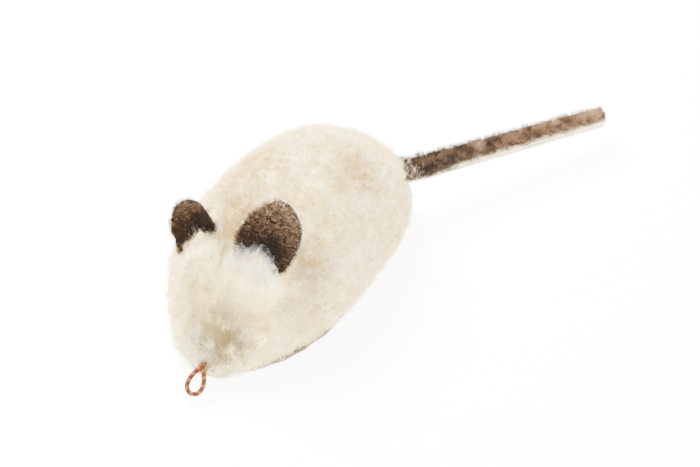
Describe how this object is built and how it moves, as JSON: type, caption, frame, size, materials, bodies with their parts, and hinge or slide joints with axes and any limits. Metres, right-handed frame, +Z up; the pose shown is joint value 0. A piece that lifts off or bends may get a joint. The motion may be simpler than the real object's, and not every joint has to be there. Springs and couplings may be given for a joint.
{
  "type": "pull-cord clockwork mouse",
  "caption": "Toy mouse covered in cream sheepskin with brown shearling ears and tail, driven by a pull-cord clockwork motor on small wheels, with a cord loop at the nose.",
  "frame": {"origin": "middle of the footprint over nose loop, body and tail, on the floor that the wheels stand on", "axes": "+X forward to the nose, +Y to the mouse's left, +Z up"},
  "size_m": [0.1928, 0.0862, 0.0535],
  "materials": {
    "wool": "cream sheepskin wool, natural, clipped",
    "sheep_leather": "natural suede side of the sheepskin",
    "belly_leather": "grey-brown split leather",
    "linen_thread": "waxed linen thread",
    "brown_shearling": "brown clipped shearling on natural leather",
    "wadding": "white polyester wadding",
    "tinplate": "bright tinplate",
    "brass": "stamped brass, satin",
    "steel": "turned steel pins",
    "spring_steel": "blued spring steel",
    "black_plastic": "black moulded acetal",
    "rubber": "black rubber",
    "cord": "copper-brown twisted cord"
  },
  "bodies": {
    "mouse": {"fleece_pile": "wool", "pelt_leather": "sheep_leather", "belly_leather": "belly_leather", "hem_thread": "linen_thread", "nose_thread": "linen_thread", "ear_left": "brown_shearling", "ear_right": "brown_shearling", "tail_stitch": "linen_thread", "nose_wadding": "wadding", "rump_wadding": "wadding", "base_plate": "tinplate", "base_rivets": "steel", "frame_plate_left": "brass", "frame_plate_right": "brass", "frame_pillars": "steel", "motor_cover": "tinplate", "spring_arbor": "steel", "mainspring": "spring_steel", "roller_bracket": "tinplate", "roller_axle": "steel", "cord_guide_tube": "brass", "cord_run": "cord"},
    "drum": {"cord_drum": "black_plastic", "drum_cover": "black_plastic", "cord_wound": "cord", "clutch_spring": "spring_steel"},
    "great": {"great_wheel": "brass"},
    "lay": {"layshaft": "steel", "lay_pinion": "brass", "lay_wheel": "brass"},
    "drive": {"drive_axle": "steel", "axle_pinion": "brass", "wheel_left": "black_plastic", "wheel_right": "black_plastic", "tyre_left": "rubber", "tyre_right": "rubber"},
    "roller": {"front_roller": "black_plastic"},
    "tail": {"tail_strip": "brown_shearling"},
    "loop": {"pull_loop": "cord"}
  },
  "joints": [
    {"name": "drum_spin", "type": "hinge", "parent": "mouse", "child": "drum", "pos_m": [0.03584, -0.01422, 0.019], "axis": [0, -1, 0], "range_deg": [0, 1790], "stiffness_Nm_per_rad": 0.0008, "springref_deg": -1145.92, "deforming": ["mainspring"]},
    {"name": "pull_cord", "type": "slide", "parent": "mouse", "child": "loop", "axis": [0.9654, 0.2609, 0], "range_m": [0, 0.25]},
    {"name": "drive_axle_spin", "type": "hinge", "parent": "mouse", "child": "drive", "pos_m": [0.01584, -0.01172, 0.008], "axis": [0, 1, 0], "continuous": true},
    {"name": "layshaft_spin", "type": "hinge", "parent": "mouse", "child": "lay", "pos_m": [0.02384, -0.01172, 0.014], "axis": [0, 1, 0], "continuous": true},
    {"name": "great_wheel_spin", "type": "hinge", "parent": "mouse", "child": "great", "pos_m": [0.03584, -0.00732, 0.019], "axis": [0, 1, 0], "continuous": true},
    {"name": "front_roller_spin", "type": "hinge", "parent": "mouse", "child": "roller", "pos_m": [0.06284, -0.01172, 0.0035], "axis": [0, 1, 0], "continuous": true},
    {"name": "tail_sway", "type": "hinge", "parent": "mouse", "child": "tail", "pos_m": [-0.01516, 0.00028, 0.018], "axis": [0, 0, 1], "range_deg": [-18, 18], "stiffness_Nm_per_rad": 0.004}
  ],
  "couplings": [
    {"joint": "pull_cord", "follows": "drum_spin", "m_per_rad": 0.008},
    {"joint": "layshaft_spin", "follows": "drive_axle_spin", "ratio": -0.42857},
    {"joint": "great_wheel_spin", "follows": "drive_axle_spin", "ratio": 0.12857}
  ]
}
